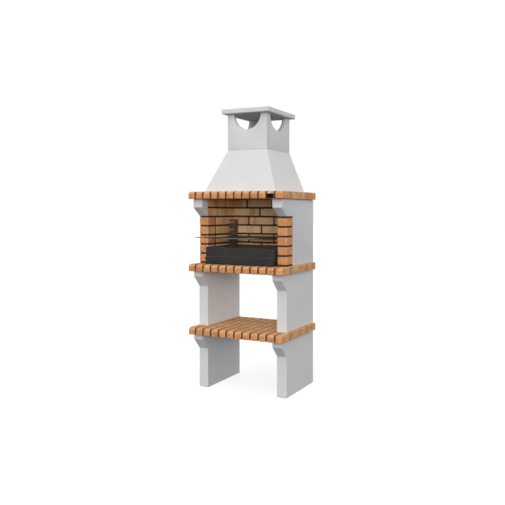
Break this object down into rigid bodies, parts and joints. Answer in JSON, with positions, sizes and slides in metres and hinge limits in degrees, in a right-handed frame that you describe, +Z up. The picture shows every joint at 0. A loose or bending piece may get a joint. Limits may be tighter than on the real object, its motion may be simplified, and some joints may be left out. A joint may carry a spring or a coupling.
{
  "type": "outdoor masonry barbecue",
  "caption": "Free-standing barbecue of precast concrete and brick with a shelf, a worktop, a firebox with a steel charcoal box and sliding grill, a hood and a capped flue.",
  "frame": {"origin": "on the ground under the middle of the bounding box", "axes": "+Z up; the front, with the firebox's mouth and the grill's handles, faces -Y; +X is on the right of someone who stands in front"},
  "size_m": [0.791, 0.6648, 2.0825],
  "materials": {
    "painted_concrete": "smooth precast concrete, pale grey paint, matt",
    "fired_brick": "orange fired clay, matt, worn edges",
    "refractory_brick": "tan firebrick with flame bands, matt",
    "dark_mortar": "dark brown mortar, rough",
    "black_sheet_steel": "black heat-proof paint, satin",
    "cast_iron": "bare cast iron, dull",
    "chromed_rod": "chromed steel rod, bright"
  },
  "bodies": {
    "masonry": {"leg_lower_left": "painted_concrete", "leg_lower_right": "painted_concrete", "leg_upper_left": "painted_concrete", "leg_upper_right": "painted_concrete", "firebox_side_left": "painted_concrete", "firebox_side_right": "painted_concrete", "firebox_back": "painted_concrete", "hood": "painted_concrete", "stack": "painted_concrete", "stack_cap": "painted_concrete", "pilaster_left": "fired_brick", "pilaster_right": "fired_brick", "lining_left": "refractory_brick", "lining_right": "refractory_brick", "lining_back": "refractory_brick", "shelf_bed": "dark_mortar", "worktop_bed": "dark_mortar", "lintel_bed": "dark_mortar", "shelf_row_01": "fired_brick", "shelf_row_02": "fired_brick", "shelf_row_03": "fired_brick", "shelf_row_04": "fired_brick", "shelf_row_05": "fired_brick", "shelf_row_06": "fired_brick", "shelf_row_07": "fired_brick", "shelf_row_08": "fired_brick", "shelf_row_09": "fired_brick", "shelf_row_10": "fired_brick", "shelf_row_11": "fired_brick", "shelf_row_12": "fired_brick", "worktop_row_01": "fired_brick", "worktop_row_02": "fired_brick", "worktop_row_03": "fired_brick", "worktop_row_04": "fired_brick", "worktop_row_05": "fired_brick", "worktop_row_06": "fired_brick", "worktop_row_07": "fired_brick", "worktop_row_08": "fired_brick", "worktop_row_09": "fired_brick", "worktop_row_10": "fired_brick", "worktop_row_11": "fired_brick", "worktop_row_12": "fired_brick", "lintel_row_01": "fired_brick", "lintel_row_02": "fired_brick", "lintel_row_03": "fired_brick", "lintel_row_04": "fired_brick", "lintel_row_05": "fired_brick", "lintel_row_06": "fired_brick", "lintel_row_07": "fired_brick", "lintel_row_08": "fired_brick", "lintel_row_09": "fired_brick", "lintel_row_10": "fired_brick", "lintel_row_11": "fired_brick", "lintel_row_12": "fired_brick"},
    "charcoal_box": {"charcoal_box": "black_sheet_steel", "rack_left": "black_sheet_steel", "rack_right": "black_sheet_steel"},
    "ash_flap": {"ash_flap": "black_sheet_steel"},
    "fire_grate": {"fire_grate": "cast_iron"},
    "grill": {"grill": "chromed_rod"}
  },
  "joints": [
    {"name": "box_slide", "type": "slide", "parent": "masonry", "child": "charcoal_box", "axis": [0, -1, 0], "range_m": [0, 0.2]},
    {"name": "flap_hinge", "type": "hinge", "parent": "charcoal_box", "child": "ash_flap", "pos_m": [0, -0.142, 0.9785], "axis": [-1, 0, 0], "range_deg": [0, 120]},
    {"name": "grate_lift", "type": "slide", "parent": "charcoal_box", "child": "fire_grate", "axis": [0, 0, 1], "range_m": [0, 0.1]},
    {"name": "grill_slide", "type": "slide", "parent": "charcoal_box", "child": "grill", "axis": [0, -1, 0], "range_m": [0, 0.1]}
  ]
}
